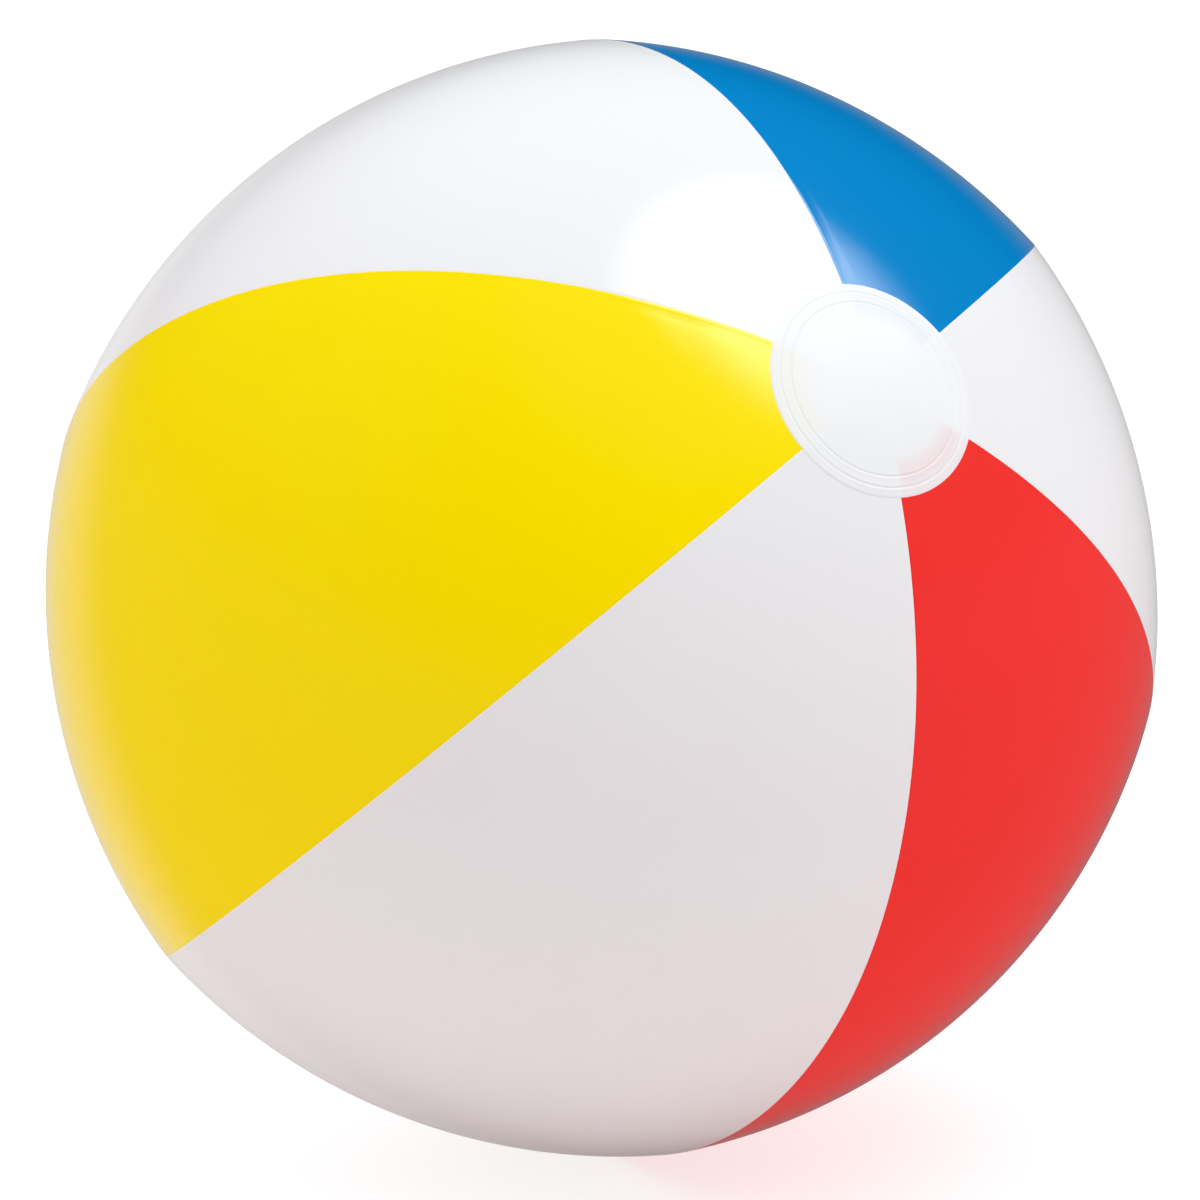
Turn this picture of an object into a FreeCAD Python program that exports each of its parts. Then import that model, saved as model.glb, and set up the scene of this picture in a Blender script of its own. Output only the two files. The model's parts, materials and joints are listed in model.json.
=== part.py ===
import FreeCAD, Part
import os
import Sketcher
from FreeCAD import Placement, Rotation, Vector

# An inflated beach ball of six welded vinyl panels, two pole discs and a push-in valve.
# Millimetres. The origin is the ball's centre, +Z is up as the ball lies, and +Y is along the valve,
# outwards. The panels and discs are drawn with the poles on Z, and "lie" turns that drawing frame
# into the ball's own.

DIMENSIONS = {
    "ball_radius": 200,       # centre to the middle of a panel at the equator, and to a pole
    "flat_arc": 213,          # radius of a panel's middle line at the equator and at the poles
    "shoulder_arc": 189,      # radius of that line between them, where it turns harder
    "gore_axis": 24.8,        # a panel is its middle line turned about a line this far behind the poles' axis
    "panel_angle": 60,        # six equal panels
    "film": 0.3,              # vinyl thickness
    "lap": 5,                 # weld allowance that runs on under the next panel
    "lap_root": 3,            # and as far back under its own panel
    "tip_radius": 30,         # the panels' tips are cut off this far from the pole
    "disc_radius": 39,        # pole disc, welded over the tips
    "valve_angle": 145.7,     # valve's direction, from the front pole
    "roll": 157.1,            # the ball's turn about the valve's axis, as it lies
    "hole_radius": 10,        # hole in the panel for the valve
    "flange_radius": 16,      # weld flange of the valve, under the panel
    "flange_inner": 9.5,
    "flange_thick": 0.8,
    "web_thick": 0.6,         # soft web that lets the valve be pushed in
    "web_sink": 0.1,          # the web's top edge is this far under the panel's inner skin
    "web_foot": 6.4,          # outer radius of the web where it meets the stem's foot
    "stem_top": 0.5,          # height of the stem's mouth above the panel's skin
    "stem_base": 14,          # depth of the stem's foot
    "stem_radius": 5,
    "stem_bore": 3.5,
    "foot_radius": 6.8,
    "foot_thick": 1,
    "joint_gap": 0.05,        # clearance between moving parts of the valve
    "plug_head": 6.5,
    "head_round": 0.5,
    "head_thick": 1.7,
    "plug_length": 8,
    "plug_nose": 1.6,         # length of the plug's tapered nose
    "nose_taper": 0.8,
    "tab_reach": 9.2,         # finger tab on the plug's head
    "tab_width": 6,
    "tab_thick": 1.1,
    "tab_corner": 1.5,
    "strap_width": 3.2,       # strap that keeps the plug, folded beside the stem
    "strap_thick": 0.9,
    "strap_reach": 6.9,
    "strap_rise": 0.2,
    "strap_foot": 3.4,
    "flap_radius": 4.5,       # one-way flap under the stem's foot
    "flap_thick": 0.6,
    "flap_gap": 0.1,
}
FAR = "300"            # beyond the ball in every direction
CAP_REACH = "60"       # wider than a pole disc
DRILL = "40"           # longer than the valve
POLE_MARGIN = "3"      # how far a panel's drawing runs on past the pole
SWEEP = 70             # degrees, wider than any panel
CUT_SWEEP = 80         # degrees, wider than what it cuts

doc = FreeCAD.newDocument("beach_ball")
sheet = doc.addObject("Spreadsheet::Sheet", "dims")
for row, (alias, number) in enumerate(DIMENSIONS.items(), start=1):
    sheet.set(f"A{row}", alias)
    sheet.set(f"B{row}", str(number))
    sheet.setAlias(f"B{row}", alias)
doc.recompute()


def value(expression):
    """The number that an expression of the sheet's cells stands for."""
    result = sheet.evalExpression(expression)
    return float(getattr(result, "Value", result))


def plane(body, role):
    """One of a body's own origin planes."""
    return next(feature for feature in body.Origin.OriginFeatures if feature.Role == role)


def new_sketch(body, name, role):
    sketch = body.newObject("Sketcher::SketchObject", name)
    sketch.AttachmentSupport = (plane(body, role), "")
    sketch.MapMode = "FlatFace"
    return sketch


def bind(sketch, constraint, name, expression):
    """Adds a dimension to a sketch and binds it to the sheet."""
    index = sketch.addConstraint(constraint)
    sketch.renameConstraint(index, name)
    sketch.setExpression(f"Constraints.{name}", expression)


def bind_point(sketch, geometry, point, name, x_expression, y_expression):
    """Binds a point's two coordinates to the sheet."""
    x, y = value(x_expression), value(y_expression)
    bind(sketch, Sketcher.Constraint("DistanceX", -1, 1, geometry, point, x), f"{name}_x", x_expression)
    bind(sketch, Sketcher.Constraint("DistanceY", -1, 1, geometry, point, y), f"{name}_y", y_expression)


def polygon(sketch, name, corners):
    """A closed outline of straight lines, each corner bound to the sheet."""
    points = [Vector(value(x), value(y), 0) for x, y in corners]
    first = sketch.GeometryCount
    count = len(points)
    for i in range(count):
        sketch.addGeometry(Part.LineSegment(points[i], points[(i + 1) % count]), False)
    for i in range(count):
        sketch.addConstraint(Sketcher.Constraint("Coincident", first + i, 2, first + (i + 1) % count, 1))
    for i, (x, y) in enumerate(corners):
        bind_point(sketch, first + i, 1, f"{name}{i}", x, y)


def circle(sketch, name, radius):
    """A circle about the sketch's origin."""
    index = sketch.addGeometry(Part.Circle(Vector(0, 0, 0), Vector(0, 0, 1), value(radius)), False)
    sketch.addConstraint(Sketcher.Constraint("Coincident", index, 3, -1, 1))
    bind(sketch, Sketcher.Constraint("Radius", index, value(radius)), name, radius)


def shoulder_centre():
    """How far the shoulder arc's centre lies from the poles' axis, and from the equator's plane."""
    step = value("dims.flat_arc - dims.ball_radius")
    gap = value("dims.flat_arc - dims.shoulder_arc")
    return (-step + (2 * gap * gap - step * step) ** 0.5) / 2


def middle_line(body, name, depth, margin):
    """The section inside a panel's middle line, moved in by depth. The sketch's own Y is the gore axis."""
    sketch = new_sketch(body, name, "XZ_Plane")
    sketch.setExpression("AttachmentOffset.Base.x", "-dims.gore_axis")
    inset = "(dims.flat_arc - dims.ball_radius)"
    flat = f"dims.flat_arc - ({depth})"
    shoulder = f"dims.shoulder_arc - ({depth})"
    edge = f"dims.gore_axis - {margin}"

    # the arcs' centres, for a first placing that the sketch's constraints then hold
    axis, step, corner = value("dims.gore_axis"), value(inset), shoulder_centre()
    turn = Vector(corner + step, corner, 0).getAngle(Vector(1, 0, 0))
    right = Vector(1, 0, 0).getAngle(Vector(0, 1, 0))
    past = right + value(margin) / value(flat)
    arcs = [
        (Vector(axis, step, 0), flat, -past, turn - right),
        (Vector(axis + corner, -corner, 0), shoulder, turn - right, -turn),
        (Vector(axis - step, 0, 0), flat, -turn, turn),
        (Vector(axis + corner, corner, 0), shoulder, turn, right - turn),
        (Vector(axis, -step, 0), flat, right - turn, past),
    ]
    for centre, radius, start, end in arcs:
        round_line = Part.Circle(centre, Vector(0, 0, 1), value(radius))
        sketch.addGeometry(Part.ArcOfCircle(round_line, start, end), False)
    last = len(arcs) - 1
    top, bottom = sketch.getPoint(last, 2), sketch.getPoint(0, 1)
    line = sketch.addGeometry(Part.LineSegment(top, bottom), False)

    for i in range(last):
        sketch.addConstraint(Sketcher.Constraint("Tangent", i, 2, i + 1, 1))
    sketch.addConstraint(Sketcher.Constraint("Coincident", last, 2, line, 1))
    sketch.addConstraint(Sketcher.Constraint("Coincident", line, 2, 0, 1))
    sketch.addConstraint(Sketcher.Constraint("Vertical", line))
    bind_point(sketch, 0, 3, "bottom_centre", "dims.gore_axis", inset)
    bind_point(sketch, last, 3, "top_centre", "dims.gore_axis", f"-{inset}")
    bind_point(sketch, 2, 3, "middle_centre", f"dims.gore_axis - {inset}", "0")
    for i, (centre, radius, start, end) in enumerate(arcs):
        bind(sketch, Sketcher.Constraint("Radius", i, value(radius)), f"arc{i}", radius)
    bind(sketch, Sketcher.Constraint("DistanceX", -1, 1, line, 1, value(edge)), "edge", edge)
    return sketch


def trim(body, name, keep):
    """Cuts away everything but the column that stands on the keep outline."""
    sketch = new_sketch(body, name + "_outline", "XY_Plane")
    polygon(sketch, "far", [(f"-{FAR}", f"-{FAR}"), (FAR, f"-{FAR}"), (FAR, FAR), (f"-{FAR}", FAR)])
    polygon(sketch, "keep", keep)
    return through_pocket(body, name, sketch)


def through_pocket(body, name, sketch):
    pocket = body.newObject("PartDesign::Pocket", name)
    pocket.Profile = sketch
    pocket.Type = "ThroughAll"
    pocket.Midplane = True
    return pocket


def gore(name, outer, inner, keep, cut_tips):
    """A layer of one panel between two depths, from pole to pole, kept over one outline."""
    body = doc.addObject("PartDesign::Body", name)
    turned = body.newObject("PartDesign::Revolution", "layer")
    turned.Profile = middle_line(body, "outer_line", outer, POLE_MARGIN)
    turned.ReferenceAxis = (turned.Profile[0], ["V_Axis"])
    turned.Angle = SWEEP
    turned.Midplane = True
    hollow = body.newObject("PartDesign::Groove", "hollow")
    hollow.Profile = middle_line(body, "inner_line", inner, "2 * " + POLE_MARGIN)
    hollow.ReferenceAxis = (hollow.Profile[0], ["V_Axis"])
    hollow.Angle = CUT_SWEEP
    hollow.Midplane = True
    trim(body, "sides", keep)
    if cut_tips:
        tips = new_sketch(body, "tips_outline", "XY_Plane")
        circle(tips, "tip", "dims.tip_radius")
        through_pocket(body, "tips", tips)
    return body


def turned_body(name, corners):
    """A body turned about its own Z from a straight-sided section: radius, height."""
    body = doc.addObject("PartDesign::Body", name)
    section = new_sketch(body, "section", "XZ_Plane")
    polygon(section, "corner", corners)
    turned = body.newObject("PartDesign::Revolution", "turned")
    turned.Profile = section
    turned.ReferenceAxis = (section, ["V_Axis"])
    turned.Angle = 360
    return body


def cylinder(name, radius, height, place=Placement()):
    shape = doc.addObject("Part::Cylinder", name)
    shape.setExpression("Radius", radius)
    shape.setExpression("Height", height)
    shape.Placement = place
    return shape


def boolean(kind, name, base, tool):
    result = doc.addObject(kind, name)
    result.Base = base
    result.Tool = tool
    return result


def fuse(name, shapes):
    result = doc.addObject("Part::MultiFuse", name)
    result.Shapes = shapes
    return result


def turned_copy(name, source, place):
    """The same piece again, placed elsewhere."""
    copy = doc.addObject("Part::Compound", name)
    copy.Links = [source]
    copy.Placement = place
    return copy


def about_z(degrees):
    return Placement(Vector(0, 0, 0), Rotation(Vector(0, 0, 1), degrees))


# ---- how the ball lies, and where its valve is ----

SOUTH = 270                    # longitude of the valve panel's middle line
half_panel = "dims.panel_angle / 2"
lie = Placement(
    Vector(0, 0, 0),
    Rotation(Vector(0, 1, 0), value("dims.roll"))
    * Rotation(Vector(1, 0, 0), SOUTH - value("dims.valve_angle")),
)


# the valve's own frame: its Z points out of the ball and its X down
shoulder = value("dims.shoulder_arc")
skin = lie.multVec(Vector(0, -shoulder_centre(), -shoulder_centre())) + Vector(0, shoulder, 0)
valve = Placement(skin, Rotation(Vector(0, 0, -1), Vector(-1, 0, 0), Vector(0, 1, 0), "ZXY"))

# ---- panels ----

reach = (f"{FAR} * cos({half_panel})", f"{FAR} * sin({half_panel})")
wedge = [("0", "0"), (reach[0], "-" + reach[1]), reach]


def strip(width, side):
    """A strip along a panel's side, inside the panel: side is -1 or 1."""
    sign = "-" if side < 0 else ""
    shift_x = f"{width} / sin({half_panel})"
    return [
        ("0", "0"),
        (reach[0], f"{sign}({reach[1]})"),
        (f"{reach[0]} + {shift_x}", f"{sign}({reach[1]})"),
        (shift_x, "0"),
    ]


# the weld doubles the film along one seam, and its lap runs on under the next panel
film = gore("film", "0", "dims.film", wedge, True)
lap_near = gore("lap_near", "0", "2 * dims.film", strip("dims.lap_root", 1), True)
lap_far = gore("lap_far", "dims.film", "2 * dims.film", strip("dims.lap", -1), True)
lap_far.Placement = about_z(value("dims.panel_angle"))
panel = fuse("panel", [film, lap_near, lap_far])
panel.Refine = False           # the skin keeps the weld's edge outside as well as inside

# seam by seam round the ball, from the lower front
PANELS = [
    "white_panel_front",
    "red_panel",
    "white_panel_right",
    "blue_panel",
    "white_panel_valve",
    "yellow_panel",
]
VALVE_PANEL = "white_panel_valve"


def middle_of(number):
    """Longitude of a panel's middle line."""
    return (number + 0.5) * value("dims.panel_angle")


def valve_column(name, radius):
    """A cylinder on the valve's axis, right through the skin."""
    return cylinder(name, radius, DRILL, valve * Placement(Vector(0, 0, -value(DRILL) / 2), Rotation()))


nodes = []
for i, label in enumerate(PANELS):
    place = lie * about_z(middle_of(i))
    if label == VALVE_PANEL:
        blank = turned_copy(label + "_blank", panel, place)
        nodes.append(boolean("Part::Cut", label, blank, valve_column("hole", "dims.hole_radius")))
    else:
        nodes.append(turned_copy(label, panel, place))

# ---- pole discs, which lie over the panels' tips ----

cap_reach = (f"{CAP_REACH} * cos({half_panel})", f"{CAP_REACH} * sin({half_panel})")
cap = gore("cap", "-dims.film", "0", [("0", "0"), (cap_reach[0], "-" + cap_reach[1]), cap_reach], False)
caps = [turned_copy(f"cap_{i}", cap, about_z(middle_of(i))) for i in range(len(PANELS))]
cap_shell = fuse("cap_shell", caps)
for label, bottom in (("front_pole_disc", 0), ("back_pole_disc", -value(FAR))):
    column = cylinder(label + "_column", "dims.disc_radius", FAR, Placement(Vector(0, 0, bottom), Rotation()))
    disc = boolean("Part::Common", label, cap_shell, column)
    disc.Placement = lie
    nodes.append(disc)

# ---- valve ----

flange_layer = gore("flange_layer", "dims.film", "dims.film + dims.flange_thick", wedge, True)
flange_layer.Placement = lie * about_z(middle_of(PANELS.index(VALVE_PANEL)))
flange_rim = valve_column("flange_rim", "dims.flange_radius")
flange_eye = valve_column("flange_eye", "dims.flange_inner")
flange_disc = boolean("Part::Common", "flange_disc", flange_layer, flange_rim)
flange = boolean("Part::Cut", "valve_flange", flange_disc, flange_eye)

web_top = "-(dims.film + dims.web_sink)"
web_lip = "-(dims.film + dims.flange_thick + 4 * dims.web_sink)"
web_bottom = "-(dims.stem_base - dims.foot_thick - dims.joint_gap)"
web = turned_body("valve_web", [
    ("dims.flange_inner", web_top),
    ("dims.flange_inner", web_lip),
    ("dims.web_foot", web_bottom),
    ("dims.stem_radius + dims.joint_gap", web_bottom),
    ("dims.stem_radius + dims.joint_gap", web_bottom + " + dims.web_thick"),
    ("dims.web_foot - dims.web_thick", web_bottom + " + dims.web_thick"),
    ("dims.flange_inner - dims.web_thick", web_lip),
    ("dims.flange_inner - dims.web_thick", web_top),
])
stem = turned_body("valve_stem", [
    ("dims.stem_bore", "dims.stem_top"),
    ("dims.stem_bore", "-dims.stem_base"),
    ("dims.foot_radius", "-dims.stem_base"),
    ("dims.foot_radius", "-dims.stem_base + dims.foot_thick"),
    ("dims.stem_radius", "-dims.stem_base + dims.foot_thick"),
    ("dims.stem_radius", "dims.stem_top"),
])

head_bottom = "dims.stem_top + dims.joint_gap"
head_top = head_bottom + " + dims.head_thick"
shaft = "dims.stem_bore - dims.joint_gap"
plug = turned_body("valve_plug", [
    ("0", head_top),
    ("0", "dims.stem_top - dims.plug_length"),
    (f"{shaft} - dims.nose_taper", "dims.stem_top - dims.plug_length"),
    (shaft, "dims.stem_top - dims.plug_length + dims.plug_nose"),
    (shaft, head_bottom),
    ("dims.plug_head", head_bottom),
    ("dims.plug_head", head_top + " - dims.head_round"),
    ("dims.plug_head - dims.head_round", head_top),
])
tab_outline = new_sketch(plug, "tab_outline", "XY_Plane")
tab_outline.setExpression("AttachmentOffset.Base.z", head_bottom)
tab_side, tab_end = "dims.tab_width / 2", "-dims.tab_reach"
polygon(tab_outline, "tab", [
    (tab_end, f"-({tab_side}) + dims.tab_corner"),
    (f"{tab_end} + dims.tab_corner", f"-({tab_side})"),
    ("0", f"-({tab_side})"),
    ("0", tab_side),
    (f"{tab_end} + dims.tab_corner", tab_side),
    (tab_end, f"{tab_side} - dims.tab_corner"),
])
tab = plug.newObject("PartDesign::Pad", "tab")
tab.Profile = tab_outline
tab.setExpression("Length", "dims.tab_thick")

# the strap leaves the plug's head, folds down beside the stem and ends on the stem's side
arm = f"{head_bottom} + dims.strap_rise"
strap = doc.addObject("PartDesign::Body", "plug_strap")
strap_side = new_sketch(strap, "side", "XZ_Plane")
polygon(strap_side, "fold", [
    ("dims.plug_head + dims.joint_gap", arm),
    ("dims.strap_reach", arm),
    ("dims.strap_reach", "-dims.strap_foot"),
    ("dims.stem_radius", "-dims.strap_foot"),
    ("dims.stem_radius", "-dims.strap_foot - dims.strap_thick"),
    ("dims.strap_reach + dims.strap_thick", "-dims.strap_foot - dims.strap_thick"),
    ("dims.strap_reach + dims.strap_thick", f"{arm} + dims.strap_thick"),
    ("dims.plug_head + dims.joint_gap", f"{arm} + dims.strap_thick"),
])
strip_pad = strap.newObject("PartDesign::Pad", "strip")
strip_pad.Profile = strap_side
strip_pad.setExpression("Length", "dims.strap_width")
strip_pad.Midplane = True

flap = turned_body("check_flap", [
    ("0", "-dims.stem_base - dims.flap_gap"),
    ("0", "-dims.stem_base - dims.flap_gap - dims.flap_thick"),
    ("dims.flap_radius", "-dims.stem_base - dims.flap_gap - dims.flap_thick"),
    ("dims.flap_radius", "-dims.stem_base - dims.flap_gap"),
])
for piece in (web, stem, plug, strap, flap):
    piece.Placement = valve
nodes += [flange, web, stem, strap, plug, flap]

# ---- check and write ----

doc.recompute()
for item in doc.Objects:
    wrong = [word for word in item.State if word in ("Invalid", "Error")]
    if wrong:
        raise RuntimeError(f"{item.Label} failed: {wrong}")
for node in nodes:
    if node.Shape.isNull() or not node.Shape.isValid():
        raise RuntimeError(f"{node.Label} has no valid shape")
    if len(node.Shape.Solids) != 1:
        raise RuntimeError(f"{node.Label} holds {len(node.Shape.Solids)} solids")

os.makedirs("parts", exist_ok=True)
for node in nodes:
    node.Shape.exportStep(f"parts/{node.Label}.step")
    box = node.Shape.BoundBox
    print(f"{node.Label:20s} {node.Shape.Volume / 1000:9.3f} cm3  x {box.XMin:7.1f} {box.XMax:7.1f}"
          f"  y {box.YMin:7.1f} {box.YMax:7.1f}  z {box.ZMin:7.1f} {box.ZMax:7.1f}")
mouth = valve.Base
print(f"valve axis meets the skin at {mouth.x:.3f} {mouth.y:.3f} {mouth.z:.3f}")
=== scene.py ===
import json
import math

import bmesh
import bpy
from mathutils import Matrix, Vector, noise


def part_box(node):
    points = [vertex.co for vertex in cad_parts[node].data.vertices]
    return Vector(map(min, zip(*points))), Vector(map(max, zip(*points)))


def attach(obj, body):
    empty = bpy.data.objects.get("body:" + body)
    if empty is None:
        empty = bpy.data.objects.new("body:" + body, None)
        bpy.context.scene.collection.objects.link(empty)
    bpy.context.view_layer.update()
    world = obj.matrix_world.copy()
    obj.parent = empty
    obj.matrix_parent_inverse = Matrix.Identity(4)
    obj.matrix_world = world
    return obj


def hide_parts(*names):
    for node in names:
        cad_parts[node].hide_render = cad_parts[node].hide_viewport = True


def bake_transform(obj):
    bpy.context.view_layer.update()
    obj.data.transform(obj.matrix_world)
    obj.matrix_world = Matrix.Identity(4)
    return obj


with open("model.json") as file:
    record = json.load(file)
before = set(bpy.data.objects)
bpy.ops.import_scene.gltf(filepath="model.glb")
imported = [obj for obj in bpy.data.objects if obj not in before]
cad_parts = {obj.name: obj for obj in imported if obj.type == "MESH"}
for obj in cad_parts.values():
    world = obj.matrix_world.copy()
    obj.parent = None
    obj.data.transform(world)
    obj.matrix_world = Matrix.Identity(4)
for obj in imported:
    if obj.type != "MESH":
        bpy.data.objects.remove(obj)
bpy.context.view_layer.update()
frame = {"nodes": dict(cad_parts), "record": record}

# An inflated beach ball: six vinyl panels, two milky pole discs and a push-in valve, in metres.
# The poles' axis is tilted, so the panels and discs are drawn about a pole on Z and turned by LIE.

MM = 0.001

# ---- shape of the ball, as the CAD has it ----

BALL_RADIUS = 200 * MM        # centre to the middle of a panel
FLAT_ARC = 213 * MM           # radius of a panel's middle line at the equator and at the poles
SHOULDER_ARC = 189 * MM       # radius of that line between them
GORE_AXIS = 24.8 * MM         # the axis that a panel's middle line is turned about, behind the poles' axis
FILM = 0.3 * MM
TIP_RADIUS = 30 * MM          # where the panels' tips end, under the pole disc
DISC_RADIUS = 39 * MM
PANEL_DEGREES = 60            # six equal panels
HALF_PANEL = math.radians(PANEL_DEGREES / 2)
VALVE_ANGLE = math.radians(145.7)        # the valve's direction, from the front pole
ROLL = math.radians(157.1)               # the ball's turn about the valve's axis, as it lies

# the flat arcs' centres are this far back past the ball's, the shoulder arc's centre is this far out and up,
# and the arcs meet where the skin faces this far up
STEP = FLAT_ARC - BALL_RADIUS
SHOULDER_CENTRE = (math.sqrt(2 * (FLAT_ARC - SHOULDER_ARC) ** 2 - STEP ** 2) - STEP) / 2
TURN = math.atan2(SHOULDER_CENTRE, SHOULDER_CENTRE + STEP)

LIE = Matrix.Rotation(ROLL, 4, "Y") @ Matrix.Rotation(math.radians(270) - VALVE_ANGLE, 4, "X")
VALVE_SKIN = LIE @ Vector((0, -SHOULDER_CENTRE, -SHOULDER_CENTRE)) + Vector((0, SHOULDER_ARC, 0))
# the valve's own frame: its origin is on the skin, Z points out of the ball along the frame's Y, and X down
VALVE = Matrix.Translation(VALVE_SKIN) @ Matrix(((0, -1, 0, 0), (0, 0, 1, 0), (-1, 0, 0, 0), (0, 0, 0, 1)))
TO_VALVE = VALVE.inverted()
LOWEST = min(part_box(name)[0].z for name in frame["nodes"])

# each panel and its material slot, in order round the pole
PANELS = [
    ("white_panel_front", "white_vinyl"),
    ("red_panel", "red_vinyl"),
    ("white_panel_right", "white_vinyl"),
    ("blue_panel", "blue_vinyl"),
    ("white_panel_valve", "white_vinyl"),
    ("yellow_panel", "yellow_vinyl"),
]
VALVE_PANEL = "white_panel_valve"

# linear colours
VINYL = {
    "white_vinyl": (0.85, 0.855, 0.865),
    "yellow_vinyl": (1.0, 0.78, 0.0),
    "blue_vinyl": (0.0, 0.220, 0.555),
    "red_vinyl": (0.90, 0.035, 0.030),
}
DISC_WHITE = (0.825, 0.84, 0.85)
VALVE_WHITE = (0.82, 0.84, 0.86)


def smooth(low, high, x):
    """0 below low, 1 above high, and an even curve between."""
    t = min(max((x - low) / (high - low), 0.0), 1.0)
    return t * t * (3 - 2 * t)


def bump_at(x, middle, width):
    """A round bump, 1 at the middle."""
    return math.exp(-((x - middle) / width) ** 2)


# ---- the ball's skin ----

def middle_line(facing, lift=0.0):
    """Radius and height of a panel's middle line where the skin faces this far up from the equator."""
    up = abs(facing)
    if up < TURN:
        x = -STEP + (FLAT_ARC + lift) * math.cos(up)
        z = (FLAT_ARC + lift) * math.sin(up)
    elif up < math.pi / 2 - TURN:
        x = SHOULDER_CENTRE + (SHOULDER_ARC + lift) * math.cos(up)
        z = SHOULDER_CENTRE + (SHOULDER_ARC + lift) * math.sin(up)
    else:
        x = (FLAT_ARC + lift) * math.cos(up)
        z = -STEP + (FLAT_ARC + lift) * math.sin(up)
    return x, math.copysign(z, facing)


def seam_turn(x):
    """Angle about the gore axis from a panel's middle line to its seam, where the middle line is at x."""
    aside = GORE_AXIS * math.sin(HALF_PANEL)
    seam = math.sqrt((GORE_AXIS + x) ** 2 - aside ** 2) - GORE_AXIS * math.cos(HALF_PANEL)
    return math.atan2(seam * math.sin(HALF_PANEL), seam * math.cos(HALF_PANEL) + GORE_AXIS)


def facing_at(radius):
    """How far up the skin faces where the middle line comes to this radius, near a pole."""
    return math.acos(radius / FLAT_ARC)


def panel_point(facing, across, lift):
    """A point of a panel's skin: across is -1 and 1 at its two seams."""
    x, z = middle_line(facing, lift)
    turn = across * seam_turn(x)
    reach = GORE_AXIS + x
    return Vector((reach * math.cos(turn) - GORE_AXIS, reach * math.sin(turn), z))


SEAM_DEPTH = 0.10 * MM         # the fold at the seam
SEAM_WIDTH = 0.9 * MM
BAND_DEPTH = 0.035 * MM        # the pressed band of the weld beside it
BAND_RISES = 0.8 * MM, 1.8 * MM
BAND_FALLS = 4.0 * MM, 5.2 * MM
PUCKER_HEIGHT = 0.10 * MM
PUCKER_RISES = 0.5 * MM, 5 * MM
PUCKER_FALLS = 8 * MM, 26 * MM
PUCKER_LENGTH = 13 * MM        # size of the puckers along the seam and across it
PUCKER_BREADTH = 40 * MM


def seam_relief(from_seam, along, seed):
    """Height of the weld along a seam, and of the small puckers that it leaves in the film."""
    edge = -SEAM_DEPTH * (1 - smooth(0.0, SEAM_WIDTH, from_seam))
    band = -BAND_DEPTH * smooth(*BAND_RISES, from_seam) * (1 - smooth(*BAND_FALLS, from_seam))
    reach = smooth(*PUCKER_RISES, from_seam) * (1 - smooth(*PUCKER_FALLS, from_seam))
    pucker = noise.noise(Vector((along / PUCKER_LENGTH, from_seam / PUCKER_BREADTH, seed)))
    return edge + band + PUCKER_HEIGHT * reach * pucker


# ---- meshes ----

SHARP_ANGLE = math.radians(40)


def new_mesh(name, points, faces):
    """A smooth-shaded piece, apart from its sharp edges."""
    mesh = bpy.data.meshes.new(name)
    mesh.from_pydata([tuple(p) for p in points], [], faces)
    mesh.validate()
    mesh.shade_smooth()
    mesh.set_sharp_from_angle(angle=SHARP_ANGLE)
    piece = bpy.data.objects.new(name, mesh)
    bpy.context.scene.collection.objects.link(piece)
    return piece


def slab(name, rows, columns, point, place):
    """A closed thin piece from a grid of point(row, column, side), with side 0 outside and 1 inside."""
    points, faces = [], []
    for side in (0, 1):
        for i in range(rows):
            for j in range(columns):
                points.append(place @ point(i, j, side))
    inner = rows * columns
    for i in range(rows - 1):
        for j in range(columns - 1):
            a, b = i * columns + j, (i + 1) * columns + j
            faces.append((a, a + 1, b + 1, b))
            faces.append((inner + a, inner + b, inner + b + 1, inner + a + 1))
    rim = [(0, j) for j in range(columns)]
    rim += [(i, columns - 1) for i in range(1, rows)]
    rim += [(rows - 1, j) for j in range(columns - 2, -1, -1)]
    rim += [(i, 0) for i in range(rows - 2, 0, -1)]
    ring = [i * columns + j for i, j in rim]
    for k, a in enumerate(ring):
        b = ring[(k + 1) % len(ring)]
        faces.append((b, a, inner + a, inner + b))
    return new_mesh(name, points, faces)


# distances from the seam of a panel's grid lines, in millimetres: close over the weld, wider over the puckers
SEAM_STEPS = [0, 0.35, 0.7, 1.1, 1.6, 2.4, 3.2, 4.0, 4.5, 5.2, 6.5, 8.5, 11, 14, 18, 22, 26]
SEAM_SHARE = 0.7               # the most of half a panel's width that they take up, near the poles
MIDDLE_STEPS = 22
ROWS = 230
SEED_STEP = 7.3                # from one panel's puckers to the next


def column_places(half_width):
    """Distances from the seam of all the grid's lines over half a panel's width."""
    squeeze = min(1.0, SEAM_SHARE * half_width / (SEAM_STEPS[-1] * MM))
    near = [d * MM * squeeze for d in SEAM_STEPS]
    rest = half_width - near[-1]
    return near + [near[-1] + rest * k / MIDDLE_STEPS for k in range(1, MIDDLE_STEPS + 1)]


def panel_grid():
    """(facing, across, distance from the seam, length along it) of each point of a panel's grid."""
    last = facing_at(TIP_RADIUS)
    grid, along = [], 0.0
    for i in range(ROWS):
        facing = last * (2 * i / (ROWS - 1) - 1)
        x = middle_line(facing)[0]
        half = seam_turn(x)
        half_width = (GORE_AXIS + x) * half
        near = column_places(half_width)
        distances = near + near[-2::-1]
        line = []
        for k, d in enumerate(distances):
            across = (d / half_width - 1) * (1 if k < len(near) else -1)
            line.append((facing, across, d, along))
        grid.append(line)
        along += SHOULDER_ARC * 2 * last / (ROWS - 1)
    return grid


GRID = panel_grid()


def panel_place(number):
    """Where a panel goes, counted round the pole."""
    return LIE @ Matrix.Rotation((2 * number + 1) * HALF_PANEL, 4, "Z")


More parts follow.
